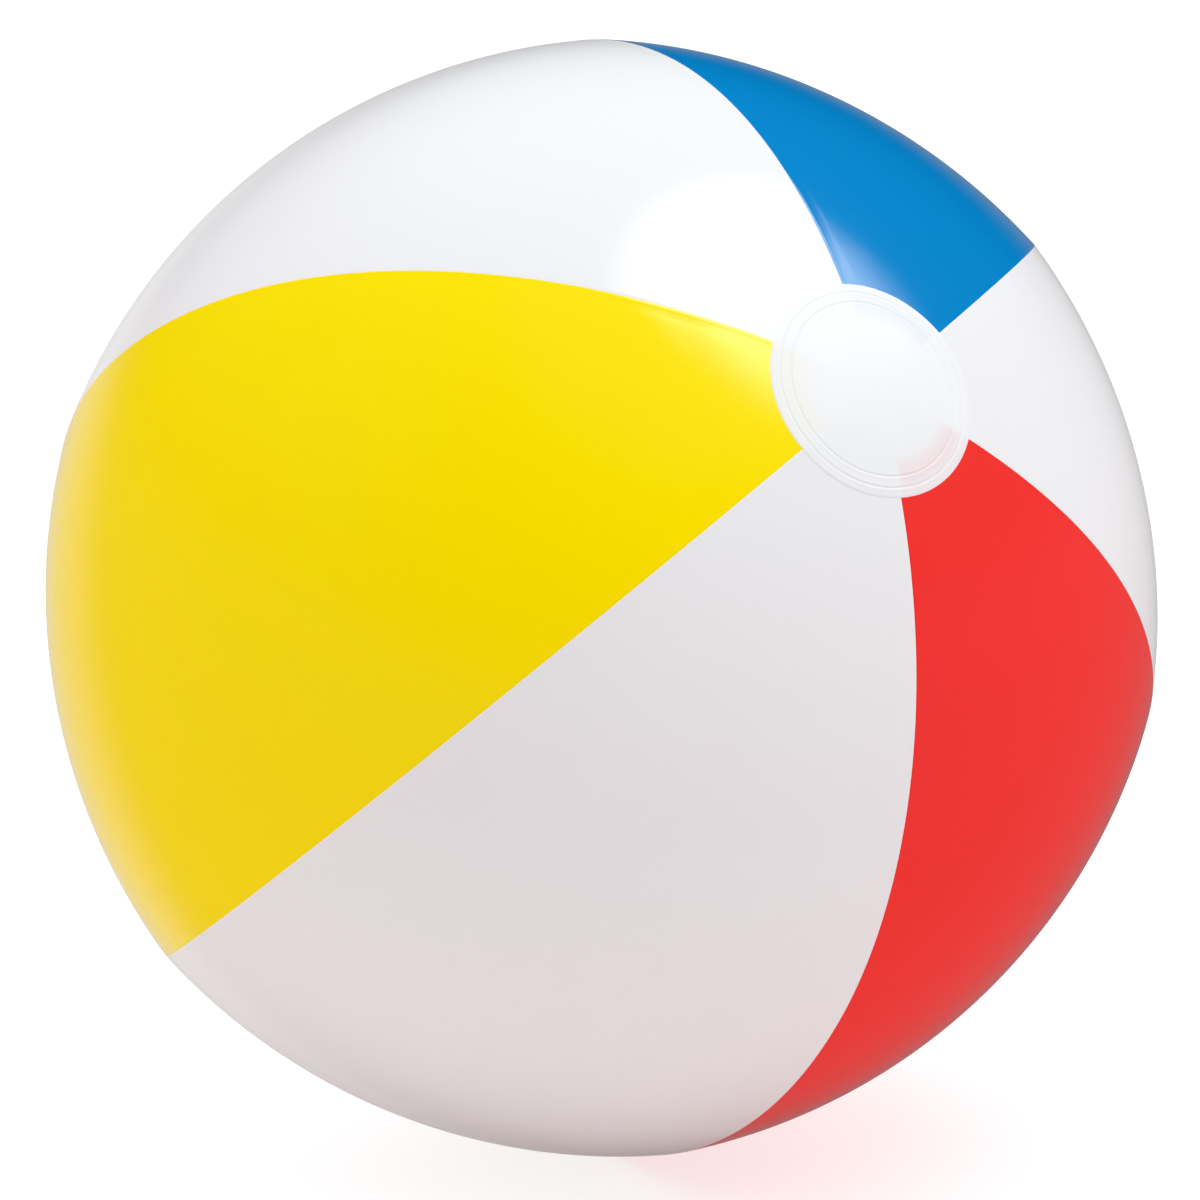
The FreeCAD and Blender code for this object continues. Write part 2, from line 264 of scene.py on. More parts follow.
def panel(name, number):
    """One panel of film, from one pole disc to the other."""
    def point(i, j, side):
        facing, across, from_seam, along = GRID[i][j]
        lift = seam_relief(from_seam, along, seed=SEED_STEP * number + (across > 0)) - side * FILM
        return panel_point(facing, across, lift)

    return slab(name, ROWS, len(GRID[0]), point, panel_place(number))


# ---- pole discs ----

# places and widths on a disc are shares of its radius, and heights are in millimetres
DISC_TURNS = 144
DISC_RINGS = 84                # rings of the disc's grid, most of them over the welds and the edge
COARSE_RINGS = 14
FINE_FROM = 0.76
WELDS = (0.815, 0.915)         # the two weld rings
GROOVE_DEPTH = 0.14            # each is a groove between two low beads
GROOVE_WIDTH = 0.0075
BEAD_HEIGHT = 0.035
BEAD_OFFSET = 0.022
BEAD_WIDTH = 0.009
WELD_STEP = 0.04               # and the film is this much lower on its outer side
STEP_WIDTH = 0.016
PILLOW_HEIGHT = 0.12           # the middle stands up a little
PILLOW_FALLS = 0.35, 0.80
EDGE_DROP = 0.14               # and the edge is rounded
EDGE_FALLS = 0.985, 1.0


def disc_height(radius, longitude, lift):
    """Height of the panels' skin over a pole, at a radius and longitude in the poles' frame."""
    from_middle = (longitude % (2 * HALF_PANEL)) - HALF_PANEL
    out = radius * math.cos(from_middle) + GORE_AXIS
    x = math.hypot(out, radius * math.sin(from_middle)) - GORE_AXIS
    return -STEP + math.sqrt((FLAT_ARC + lift) ** 2 - x * x)


def disc_relief(share):
    """Height of the disc's raised middle, of its weld rings and of its rounded edge."""
    height = PILLOW_HEIGHT * (1 - smooth(*PILLOW_FALLS, share)) - EDGE_DROP * smooth(*EDGE_FALLS, share)
    for ring in WELDS:
        height -= GROOVE_DEPTH * bump_at(share, ring, GROOVE_WIDTH)
        height += BEAD_HEIGHT * bump_at(share, ring - BEAD_OFFSET, BEAD_WIDTH)
        height += BEAD_HEIGHT * bump_at(share, ring + BEAD_OFFSET, BEAD_WIDTH)
        height -= WELD_STEP * smooth(ring - STEP_WIDTH / 2, ring + STEP_WIDTH / 2, share)
    return height * MM


def ring_shares():
    """Shares of the radius for the disc's grid, closer together over the weld rings and the edge."""
    fine = DISC_RINGS - COARSE_RINGS - 1
    inner = [FINE_FROM * k / COARSE_RINGS for k in range(1, COARSE_RINGS + 1)]
    outer = [FINE_FROM + (1 - FINE_FROM) * k / fine for k in range(1, fine + 1)]
    return inner + outer


def pole_disc(name, end):
    """A pole disc over the panels' tips: end is 1 at the front pole and -1 at the back."""
    shares = ring_shares()
    points, faces = [], []
    flip = Matrix.Diagonal((1, 1, end, 1))
    for side in (0, 1):
        level = FILM * (1 - side)
        points.append(Vector((0, 0, disc_height(0, 0, level + disc_relief(0)))))
        for share in shares:
            radius = share * DISC_RADIUS
            relief = disc_relief(share)
            for k in range(DISC_TURNS):
                longitude = 2 * math.pi * k / DISC_TURNS
                x, y = radius * math.cos(longitude), radius * math.sin(longitude)
                points.append(Vector((x, y, disc_height(radius, longitude, level + relief))))
    inner = 1 + len(shares) * DISC_TURNS
    for side, base in ((0, 0), (1, inner)):
        for k in range(DISC_TURNS):
            after = (k + 1) % DISC_TURNS
            fan = (base, base + 1 + k, base + 1 + after)
            faces.append(fan if side == 0 else fan[::-1])
            for r in range(len(shares) - 1):
                a, b = base + 1 + r * DISC_TURNS, base + 1 + (r + 1) * DISC_TURNS
                quad = (a + k, b + k, b + after, a + after)
                faces.append(quad if side == 0 else quad[::-1])
    edge = 1 + (len(shares) - 1) * DISC_TURNS
    for k in range(DISC_TURNS):
        after = (k + 1) % DISC_TURNS
        faces.append((edge + k, inner + edge + k, inner + edge + after, edge + after))
    if end < 0:
        faces = [face[::-1] for face in faces]
    piece = new_mesh(name, [LIE @ flip @ p for p in points], faces)
    tint_by_panel(piece, flip)
    return piece


# how much of a panel's colour shows through the milky disc
SHOWS_THROUGH = {"red_vinyl": 0.12, "yellow_vinyl": 0.07, "blue_vinyl": 0.07}
TINT_STARTS = 0.62, 0.78       # none inside these shares of the radius, and all of it outside them
TINT_HALVES = WELDS[1] - 0.06, WELDS[1]      # and half of it beyond the outer weld ring
TINT_BLUR = 3.0                # degrees from a seam to the panel's full colour


def tint_by_panel(piece, flip):
    """The colours of the panels' tips show faintly through the milky disc."""
    back = (LIE @ flip).inverted()
    tint = piece.data.color_attributes.new("tint", "FLOAT_COLOR", "POINT")
    for vertex in piece.data.vertices:
        p = back @ vertex.co
        share = math.hypot(p.x, p.y) / DISC_RADIUS
        sector = (math.degrees(math.atan2(p.y, p.x)) % 360) / PANEL_DEGREES
        slot = PANELS[int(sector) % len(PANELS)][1]
        from_seam = min(sector % 1, 1 - sector % 1) * PANEL_DEGREES
        strength = SHOWS_THROUGH.get(slot, 0.0) * smooth(*TINT_STARTS, share)
        strength *= 1 - 0.5 * smooth(*TINT_HALVES, share)
        strength *= smooth(0.0, TINT_BLUR, from_seam)
        shown = [w + (c - w) * strength for w, c in zip(DISC_WHITE, VINYL[slot])]
        tint.data[vertex.index].color = (*shown, 1.0)


# ---- valve ----

# Its sizes and outlines are in millimetres in its own frame: distance from the axis, height above the skin.

HOLE_RADIUS = 10.0             # hole in the panel
HOLE_TURNS = 144
HOLE_DEPTH = 8.0
WELD_DEPTH = 0.28              # the pressed band of the weld round the hole
WELD_RISES = 9.8, 11.0
WELD_FALLS = 15.2, 16.4
# ridges in the weld as (height, distance, width): a lip at the hole, a shoulder, and three rings between
WELD_RIDGES = [(0.30, 10.2, 0.7), (0.14, 16.9, 0.8)] + [(0.14, ring, 0.28) for ring in (12.1, 13.1, 14.1)]
# the panel's grid is cut finer as far as each distance from the axis, by this many cuts
GRID_CUTS = [(27.0, 3), (19.0, 2)]
SHORTEST_CUT = 0.4             # shorter edges stay whole
FIT_REACH = 33.0               # the panel's points are set on the exact skin as far as this
FIT_DEPTH = 9.0                # and this far above and below the valve's origin

STEM_RADIUS = 5.0
STEM_BORE = 3.5
STEM_TOP = 0.5
WAIST_RADIUS = 4.7
FOOT_RADIUS = 6.8
FOOT_TOP = -13.0
FOOT_END = -14.0
HEAD_RADIUS = 6.5              # the plug's head, with a shallow dish in it
HEAD_TOP = 2.25
HEAD_UNDER = 0.55
DISH_FLOOR = 1.75
SHAFT_RADIUS = 3.45
NECK_RADIUS = 3.2
NOSE_RADIUS = 2.65
PLUG_END = -7.5
TAB_ROOT = -4.0                # the finger tab, from inside the head outwards
TAB_END = -9.2
TAB_HALF = 3.0
TAB_CORNER = 1.6
TAB_TOP = 1.65
TAB_ROUND = 0.32               # how far its edge is rounded down, over TAB_ROUND_WIDTH
TAB_ROUND_WIDTH = 0.5
TAB_RIBS = -8.2, -7.5, -6.8
RIB_HEIGHT = 0.16
RIB_WIDTH = 0.22
RIB_ENDS = 1.7, 2.2
STRAP_WIDTH = 3.2
STRAP_THICK = 0.85
STRAP_SQUARE = 0.35            # power of the strap's rounded section: smaller is squarer
WEB_TOP = -0.4
WEB_FOOT = -12.95
FLAP_RADIUS = 4.5
FLAP_TOP = -14.12
FLAP_SHOULDER = -14.2          # its upper edge slopes down to here
FLAP_SLOPE = 0.4               # over this width
FLAP_END = -14.7


def lathe(name, section, closed=True, turns=96):
    """An outline turned about the valve's axis. An open outline starts and ends on the axis."""
    points, faces = [], []
    count = len(section)
    for k in range(turns):
        angle = 2 * math.pi * k / turns
        for radius, height in section:
            point = Vector((radius * math.cos(angle), radius * math.sin(angle), height))
            points.append(VALVE @ (point * MM))
    for k in range(turns):
        after = (k + 1) % turns
        for i in range(count if closed else count - 1):
            j = (i + 1) % count
            faces.append((k * count + i, after * count + i, after * count + j, k * count + j))
    piece = new_mesh(name, points, faces)
    tidy_mesh(piece)
    return piece


def tidy_mesh(piece):
    """Joins points that meet and turns every face outwards."""
    mesh = bmesh.new()
    mesh.from_mesh(piece.data)
    bmesh.ops.remove_doubles(mesh, verts=mesh.verts, dist=1e-7)
    bmesh.ops.dissolve_degenerate(mesh, dist=1e-8, edges=mesh.edges)
    bmesh.ops.recalc_face_normals(mesh, faces=mesh.faces)
    mesh.to_mesh(piece.data)
    mesh.free()


CORNER_SHARE = 0.45            # the most of a run that one rounded corner takes


def rounded(corners, radius, closed=True, steps=6):
    """An outline with its corners rounded by up to radius. An open outline keeps its two ends."""
    result = []
    count = len(corners)
    for i, corner in enumerate(corners):
        here = Vector(corner)
        if not closed and i in (0, count - 1):
            result.append(corner)
            continue
        back, on = Vector(corners[i - 1]) - here, Vector(corners[(i + 1) % count]) - here
        cut = min(radius, back.length * CORNER_SHARE, on.length * CORNER_SHARE)
        a = here + back.normalized() * cut
        b = here + on.normalized() * cut
        for k in range(steps + 1):
            t = k / steps
            result.append(tuple((1 - t) ** 2 * a + 2 * t * (1 - t) * here + t * t * b))
    return result


def combine(piece, tool, operation):
    """Cuts or joins two closed meshes. The tool is used up."""
    modifier = piece.modifiers.new("combine", "BOOLEAN")
    modifier.operation = operation
    modifier.solver = "EXACT"
    modifier.object = tool
    evaluated = piece.evaluated_get(bpy.context.evaluated_depsgraph_get())
    mesh = bpy.data.meshes.new_from_object(evaluated)
    piece.modifiers.clear()
    old = piece.data
    piece.data = mesh
    bpy.data.meshes.remove(old)
    bpy.data.objects.remove(tool)
    mesh.shade_smooth()
    mesh.set_sharp_from_angle(angle=SHARP_ANGLE)


def weld_relief(radius):
    """Height of the valve's weld in the panel, at a distance from the valve's axis in millimetres."""
    band = -WELD_DEPTH * smooth(*WELD_RISES, radius) * (1 - smooth(*WELD_FALLS, radius))
    ridges = sum(height * bump_at(radius, middle, width) for height, middle, width in WELD_RIDGES)
    return (band + ridges) * MM


def from_valve(point):
    """Distance from the valve's axis, and above or below its origin, in millimetres."""
    p = (TO_VALVE @ point) / MM
    return math.hypot(p.x, p.y), abs(p.z)


def refine_round_valve(mesh, reach, cuts):
    """Cuts the edges of the faces round the valve into shorter ones."""
    near = set()
    for face in mesh.faces:
        radius, depth = from_valve(face.calc_center_median())
        if radius < reach and depth < FIT_DEPTH:
            near.add(face)
    edges = [e for e in mesh.edges if e.calc_length() > SHORTEST_CUT * MM and near.intersection(e.link_faces)]
    bmesh.ops.subdivide_edges(mesh, edges=edges, cuts=cuts, use_grid_fill=True)


def fit_to_valve(piece, place):
    """Refines a panel's mesh round the valve, sets it on the exact skin and presses the weld into it."""
    mesh = bmesh.new()
    mesh.from_mesh(piece.data)
    for reach, cuts in GRID_CUTS:
        refine_round_valve(mesh, reach, cuts)
    to_panel = place.inverted()
    for vertex in mesh.verts:
        radius, depth = from_valve(vertex.co)
        if radius > FIT_REACH or depth > FIT_DEPTH:
            continue
        p = to_panel @ vertex.co
        reach = math.hypot(p.x + GORE_AXIS, p.y)
        across = Vector((reach - GORE_AXIS - SHOULDER_CENTRE, abs(p.z) - SHOULDER_CENTRE))
        skin = SHOULDER_ARC if across.length > SHOULDER_ARC - FILM / 2 else SHOULDER_ARC - FILM
        across = across.normalized() * (skin + weld_relief(radius))
        grown = (across.x + SHOULDER_CENTRE + GORE_AXIS) / reach
        vertex.co = place @ Vector((
            (p.x + GORE_AXIS) * grown - GORE_AXIS,
            p.y * grown,
            math.copysign(across.y + SHOULDER_CENTRE, p.z),
        ))
    mesh.to_mesh(piece.data)
    mesh.free()


def valve_panel_film(name, number):
    """The panel that the valve is welded into, with its hole."""
    piece = panel(name, number)
    fit_to_valve(piece, panel_place(number))
    outline = [(0, HOLE_DEPTH), (HOLE_RADIUS, HOLE_DEPTH), (HOLE_RADIUS, -HOLE_DEPTH), (0, -HOLE_DEPTH)]
    combine(piece, lathe("drill", outline, closed=False, turns=HOLE_TURNS), "DIFFERENCE")
    return piece


def plug_tab():
    """The finger tab on the plug's head, with three grip ribs."""
    rows, columns = 40, 17

    def point(i, j, side):
        # rows crowd towards the rounded end, and columns towards the sides
        x = TAB_ROOT + (TAB_END - TAB_ROOT) * math.sin(math.pi / 2 * i / (rows - 1))
        past = max(0.0, TAB_END + TAB_CORNER - x)
        width = TAB_HALF - TAB_CORNER + math.sqrt(max(TAB_CORNER ** 2 - past ** 2, 0.0))
        share = math.sin((2 * j / (columns - 1) - 1) * math.pi / 2)
        from_edge = min(width * (1 - abs(share)), x - TAB_END)
        edge = TAB_ROUND * (1 - smooth(0.0, TAB_ROUND_WIDTH, from_edge))
        ribs = RIB_HEIGHT * sum(bump_at(x, rib, RIB_WIDTH) for rib in TAB_RIBS)
        ribs *= 1 - smooth(*RIB_ENDS, width * abs(share))
        z = TAB_TOP - edge + ribs if side == 0 else HEAD_UNDER + edge
        return Vector((x, -width * share, z)) * MM

    return slab("tab", rows, columns, point, VALVE)


def valve_plug_piece():
    """Stopper: a tapered pin with a neck in it, under a round head with a shallow dish and a finger tab."""
    outline = [
        (0, DISH_FLOOR), (3.9, DISH_FLOOR), (4.7, HEAD_TOP),
        (HEAD_RADIUS, HEAD_TOP), (HEAD_RADIUS, HEAD_UNDER),
        (SHAFT_RADIUS, HEAD_UNDER), (SHAFT_RADIUS, -2.4),
        (NECK_RADIUS, -2.8), (NECK_RADIUS, -3.6),
        (SHAFT_RADIUS, -4.0), (SHAFT_RADIUS, -5.9),
        (NOSE_RADIUS, PLUG_END), (0, PLUG_END),
    ]
    plug = lathe("valve_plug_body", rounded(outline, radius=0.45, closed=False), closed=False)
    combine(plug, plug_tab(), "UNION")
    return plug


def squared(share):
    """Pushes a sine or cosine outwards, so that a circle becomes a rounded square."""
    return math.copysign(abs(share) ** STRAP_SQUARE, share)


def ribbon(name, path, width, thick, corners=16):
    """A flat strip with rounded edges, along a path of (distance from the axis, height)."""
    turns = [2 * math.pi * k / corners for k in range(corners)]
    section = [(squared(math.cos(turn)) * thick / 2, squared(math.sin(turn)) * width / 2) for turn in turns]
    points, faces = [], []
    for i, here in enumerate(path):
        before, after = path[max(i - 1, 0)], path[min(i + 1, len(path) - 1)]
        run = (Vector(after) - Vector(before)).normalized()
        normal = Vector((-run.y, run.x))
        for out, side in section:
            spot = Vector(here) + normal * out
            points.append(VALVE @ (Vector((spot.x, side, spot.y)) * MM))
    count = len(section)
    for i in range(len(path) - 1):
        for k in range(count):
            j = (k + 1) % count
            faces.append((i * count + k, i * count + j, (i + 1) * count + j, (i + 1) * count + k))
    faces.append(tuple(range(count)))
    faces.append(tuple(range((len(path) - 1) * count, len(path) * count)))
    piece = new_mesh(name, points, faces)
    tidy_mesh(piece)
    return piece


def plug_strap_piece():
    """The strap that keeps the plug: out of the head, down beside the stem and back in to it."""
    corners = [(6.35, 1.2), (7.35, 1.2), (7.35, -3.85), (4.85, -3.85)]
    path = rounded(corners, radius=0.9, closed=False, steps=14)
    return ribbon("plug_strap_strip", path, STRAP_WIDTH, STRAP_THICK)


def web_piece():
    """The soft sleeve from the weld to the stem's foot. It turns inside out when the valve is pulled up."""
    outer = [(9.5, WEB_TOP), (9.5, -1.6), (6.4, WEB_FOOT), (5.1, WEB_FOOT)]
    inner = [(5.1, -12.35), (5.8, -12.3), (8.9, -1.6), (8.9, WEB_TOP)]
    return lathe("valve_web_sleeve", fill_in(rounded(outer + inner, radius=0.28), longest=0.45))


def fill_in(section, longest):
    """Adds points to an outline so that no run is longer than this."""
    result = []
    for i, corner in enumerate(section):
        here, after = Vector(corner), Vector(section[(i + 1) % len(section)])
        parts = max(1, math.ceil((after - here).length / longest))
        result += [tuple(here.lerp(after, k / parts)) for k in range(parts)]
    return result


def stem_piece():
    """The tube that is blown into: a rounded mouth, a waist under it and a foot."""
    outline = [
        (STEM_BORE, STEM_TOP), (STEM_BORE, FOOT_END),
        (FOOT_RADIUS, FOOT_END), (FOOT_RADIUS, FOOT_TOP),
        (STEM_RADIUS, FOOT_TOP), (STEM_RADIUS, -5.6),
        (WAIST_RADIUS, -5.2), (WAIST_RADIUS, -1.6),
        (STEM_RADIUS, -1.2), (STEM_RADIUS, STEM_TOP),
    ]
    return lathe("valve_stem_tube", rounded(outline, radius=0.3))


def flap_piece():
    """The one-way flap, a soft disc hinged under the stem's foot."""
    outline = [
        (0, FLAP_TOP), (FLAP_RADIUS - FLAP_SLOPE, FLAP_TOP),
        (FLAP_RADIUS, FLAP_SHOULDER), (FLAP_RADIUS, FLAP_END), (0, FLAP_END),
    ]
    return lathe("check_flap_disc", rounded(outline, radius=0.15, closed=False), closed=False)


# ---- nodes that the materials and the studio share ----

def ranged(nodes, links, source, low, high, at_low, at_high):
    """Maps a value to a range, with soft ends."""
    node = nodes.new("ShaderNodeMapRange")
    node.interpolation_type = "SMOOTHSTEP"
    node.inputs["From Min"].default_value = low
    node.inputs["From Max"].default_value = high
    node.inputs["To Min"].default_value = at_low
    node.inputs["To Max"].default_value = at_high
    links.new(source, node.inputs["Value"])
    return node.outputs["Result"]


def mixed(nodes, links, factor, a, b, blend="MIX"):
    """Mixes two colours, each another node's socket or a plain colour."""
    node = nodes.new("ShaderNodeMix")
    node.data_type = "RGBA"
    node.blend_type = blend
    links.new(factor, node.inputs["Factor"])
    for name, colour in (("A", a), ("B", b)):
        if isinstance(colour, tuple):
            node.inputs[name].default_value = (*colour, 1)
        else:
            links.new(colour, node.inputs[name])
    return node.outputs["Result"]


def clouds(nodes, links, place, scale, detail):
    """A soft noise over the piece, about 0.5 on average."""
    node = nodes.new("ShaderNodeTexNoise")
    node.inputs["Scale"].default_value = scale
    node.inputs["Detail"].default_value = detail
    links.new(place.outputs["Object"], node.inputs["Vector"])
    return node.outputs["Fac"]


def spread(nodes, links, source, low, high):
    """Maps 0 to 1 to a small range."""
    node = nodes.new("ShaderNodeMapRange")
    node.inputs["To Min"].default_value = low
    node.inputs["To Max"].default_value = high
    links.new(source, node.inputs["Value"])
    return node.outputs["Result"]


# ---- materials ----

FILM_ROUGHNESS = 0.12
FILM_SPECULAR = 0.27
DISC_ROUGHNESS = 0.5
DISC_SPECULAR = 0.15
MOULDED_ROUGHNESS = 0.34
VINYL_IOR = 1.45
SHEEN_ROUGHNESS = 0.3
MILKY_SHEEN = {"white_vinyl": 0.30}      # the white film lets a little light through, which shows at its rim
SHADE_VARIES = 0.01
SHADE_SCALE = 9.0                        # noise scales are per metre
ROUGHNESS_VARIES = 0.015
SCUFF_SCALE = 25.0
GRAIN_SCALE = 45.0
GRAIN_DEPTH = 0.1 * MM
GRAIN_STRENGTH = 0.5


def vinyl(name, colour, roughness=FILM_ROUGHNESS, attribute=None, specular=FILM_SPECULAR, sheen=0.0):
    """Vinyl of one colour, or of a mesh attribute's, with faint clouds, scuffs and waves in the film."""
    material = bpy.data.materials.new(name)
    material.use_nodes = True
    nodes, links = material.node_tree.nodes, material.node_tree.links
    shader = nodes["Principled BSDF"]
    place = nodes.new("ShaderNodeTexCoord")

    shade = clouds(nodes, links, place, SHADE_SCALE, 3.0)
    tint = nodes.new("ShaderNodeVectorMath")
    tint.operation = "SCALE"
    if attribute:
        source = nodes.new("ShaderNodeAttribute")
        source.attribute_name = attribute
        links.new(source.outputs["Color"], tint.inputs[0])
    else:
        tint.inputs[0].default_value = colour
    links.new(spread(nodes, links, shade, 1 - SHADE_VARIES, 1 + SHADE_VARIES), tint.inputs["Scale"])
    links.new(tint.outputs["Vector"], shader.inputs["Base Color"])

    scuff = clouds(nodes, links, place, SCUFF_SCALE, 3.0)
    gloss = spread(nodes, links, scuff, roughness - ROUGHNESS_VARIES, roughness + ROUGHNESS_VARIES)
    links.new(gloss, shader.inputs["Roughness"])

    relief = nodes.new("ShaderNodeBump")
    relief.inputs["Strength"].default_value = GRAIN_STRENGTH
    relief.inputs["Distance"].default_value = GRAIN_DEPTH
    links.new(clouds(nodes, links, place, GRAIN_SCALE, 1.0), relief.inputs["Height"])
    links.new(relief.outputs["Normal"], shader.inputs["Normal"])
    shader.inputs["IOR"].default_value = VINYL_IOR
    shader.inputs["Specular IOR Level"].default_value = specular
    shader.inputs["Sheen Weight"].default_value = sheen
    shader.inputs["Sheen Roughness"].default_value = SHEEN_ROUGHNESS
    return material


materials = {}
for slot, colour in VINYL.items():
    materials[slot] = vinyl(slot, colour, sheen=MILKY_SHEEN.get(slot, 0.0))
materials["disc_vinyl"] = vinyl("disc_vinyl", DISC_WHITE, DISC_ROUGHNESS, "tint", DISC_SPECULAR)
materials["valve_vinyl"] = vinyl("valve_vinyl", VALVE_WHITE, MOULDED_ROUGHNESS)


# ---- put it together ----

def finish_piece(piece, slot, node, body=None):
    """A piece's material and slot, the CAD node that it stands for, and its body if it keeps to one."""
    piece.data.materials.append(materials[slot])
    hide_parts(node)
    if body:
        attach(piece, body)


for i, (label, slot) in enumerate(PANELS):
    make = valve_panel_film if label == VALVE_PANEL else panel
    finish_piece(make(label + "_film", i), slot, label, "ball")
for label, end in (("front_pole_disc", 1), ("back_pole_disc", -1)):
    finish_piece(pole_disc(label + "_film", end), "disc_vinyl", label, "ball")
finish_piece(stem_piece(), "valve_vinyl", "valve_stem", "valve_stem")
finish_piece(valve_plug_piece(), "valve_vinyl", "valve_plug", "valve_plug")
finish_piece(flap_piece(), "valve_vinyl", "check_flap", "check_flap")
web = web_piece()
finish_piece(web, "valve_vinyl", "valve_web")
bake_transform(web)
strap = plug_strap_piece()
finish_piece(strap, "valve_vinyl", "plug_strap")
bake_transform(strap)

# the valve's flange stays as the CAD has it, in its own slot's material, as do the nodes that aren't shown
slots = {entry["node"]: entry["material_slot"] for entry in frame["record"]["subparts"]}
for label, node in frame["nodes"].items():
    if not node.material_slots:
        node.data.materials.append(None)
    for holder in node.material_slots:
        holder.material = materials[slots[label]]


# ---- camera, floor and light ----

# angles are in degrees: azimuths from -Y towards +X, and elevations above the horizon
CAMERA_AZIMUTH = -47.8
CAMERA_ELEVATION = 12
CAMERA_DISTANCE = 10.09 * BALL_RADIUS
LENS = 165.7                             # millimetres, as is the sensor's width
SENSOR = 36
FAR = 50                                 # beyond the floor

FLOOR_REACH = 12.0
FLOOR_GAP = 0.2 * MM                     # between the paper and the ball's lowest point
FLOOR_ROUGHNESS = 0.9
FLOOR_WHITE = (0.70, 0.67, 0.69)
FLOOR_GLOW = (0.33, 0.265, 0.235)        # a little light of its own, which warms the ball's underside
FLOOR_SEEN_WHITE = (0.42, 0.42, 0.42)    # where the camera sees it, it takes less colour from the ball
FLOOR_SEEN_GLOW = (0.74, 0.735, 0.74)    # and glows more, which keeps the paper white near the ball

HORIZON_LIGHT = (0.89, 0.835, 0.83)
OVERHEAD_LIGHT = (1.23, 1.17, 1.19)
OVERHEAD_FROM = 0.85                     # how high the sky is fully this bright: 1 is straight overhead
FRONT_SHADE = (0.05, 0.0, 0.0)           # the room is dark behind the camera
FRONT_EDGE = -0.35, -0.95
BACKDROP_LIGHT = (0.13, 0.16, 0.16)      # and brighter behind the ball
BACKDROP_EDGE = 0.1, 0.8
WALL_SHINE = 0.20                        # what the skin mirrors: dim walls,
PATCH_SHINE = 0.70                       # a brighter patch low down behind the ball
PATCH_AZIMUTH = 160.0
PATCH_ELEVATION = -15.0
PATCH_EDGE = 0.84, 0.99
CEILING_SHINE = 0.0                      # and a dark ceiling
CEILING_EDGE = 0.0, 0.26

FILL_AZIMUTH = -22.0                     # the fill lights the skin and isn't mirrored in it
FILL_ELEVATION = 64.0
FILL_DISTANCE = 2.5
FILL_SIZE = 2.5
FILL_RADIANCE = 1.98
FILL_COLOUR = (0.79, 0.97, 1.0)
KEY_AZIMUTH = 31.0                       # the key is mirrored in the skin and doesn't light it
KEY_ELEVATION = 60.0
KEY_DISTANCE = 2.2
KEY_SPACING = 0.01
KEY_SIZES = (1.4, 1.5, 1.65, 1.8, 2.0)   # one over another, so that the highlight has a soft edge
KEY_RADIANCE = 11.5


def direction(azimuth, elevation):
    """The way to a place round the ball, as a vector of length 1."""
    turn, rise = math.radians(azimuth), math.radians(elevation)
    return Vector((math.sin(turn) * math.cos(rise), -math.cos(turn) * math.cos(rise), math.sin(rise)))


def aim_at_ball(thing):
    """Turns a camera or a lamp to the ball's centre."""
    thing.rotation_euler = (-thing.location).to_track_quat("-Z", "Y").to_euler()


def add_camera():
    """The camera, on the ball's front pole side."""
    data = bpy.data.cameras.new("camera")
    data.lens = LENS
    data.sensor_width = SENSOR
    data.clip_end = FAR
    camera = bpy.data.objects.new("camera", data)
    camera.location = direction(CAMERA_AZIMUTH, CAMERA_ELEVATION) * CAMERA_DISTANCE
    aim_at_ball(camera)
    bpy.context.scene.collection.objects.link(camera)
    bpy.context.scene.camera = camera


def floor_paint():
    """Pale studio paper, which the camera sees paler than the ball does, so that it stays white."""
    material = bpy.data.materials.new("floor_paint")
    material.use_nodes = True
    nodes, links = material.node_tree.nodes, material.node_tree.links
    shader = nodes["Principled BSDF"]
    shader.inputs["Roughness"].default_value = FLOOR_ROUGHNESS
    shader.inputs["Specular IOR Level"].default_value = 0.0
    shader.inputs["Emission Strength"].default_value = 1.0
    seen = nodes.new("ShaderNodeLightPath").outputs["Is Camera Ray"]
    links.new(mixed(nodes, links, seen, FLOOR_WHITE, FLOOR_SEEN_WHITE), shader.inputs["Base Color"])
    links.new(mixed(nodes, links, seen, FLOOR_GLOW, FLOOR_SEEN_GLOW), shader.inputs["Emission Color"])
    return material


def add_floor():
    """A sheet of paper under the ball, which isn't mirrored in its skin."""
    corners = [(-1, -1, 0), (1, -1, 0), (1, 1, 0), (-1, 1, 0)]
    mesh = bpy.data.meshes.new("floor")
    mesh.from_pydata([Vector(corner) * FLOOR_REACH for corner in corners], [], [(0, 1, 2, 3)])
    floor = bpy.data.objects.new("floor", mesh)
    floor.location.z = LOWEST - FLOOR_GAP
    mesh.materials.append(floor_paint())
    bpy.context.scene.collection.objects.link(floor)
    floor.visible_glossy = False


def add_softbox(name, place, size, radiance, colour=(1, 1, 1), lights=True, shines=True):
    """A round lamp that faces the ball. It can light the skin, be mirrored in it, or both."""
    data = bpy.data.lights.new(name, "AREA")
    data.shape = "DISK"
    data.size = size
    data.energy = radiance * math.pi * math.pi * (size / 2) ** 2
    data.color = colour
    light = bpy.data.objects.new(name, data)
    light.location = place
    light.visible_diffuse = lights
    light.visible_glossy = shines
    aim_at_ball(light)
    bpy.context.scene.collection.objects.link(light)


def pointing(nodes, links, place, way):
    """How far each direction of the sky points one way: 1 is straight along it."""
    node = nodes.new("ShaderNodeVectorMath")
    node.operation = "DOT_PRODUCT"
    node.inputs[1].default_value = way
    links.new(place, node.inputs[0])
    return node.outputs["Value"]


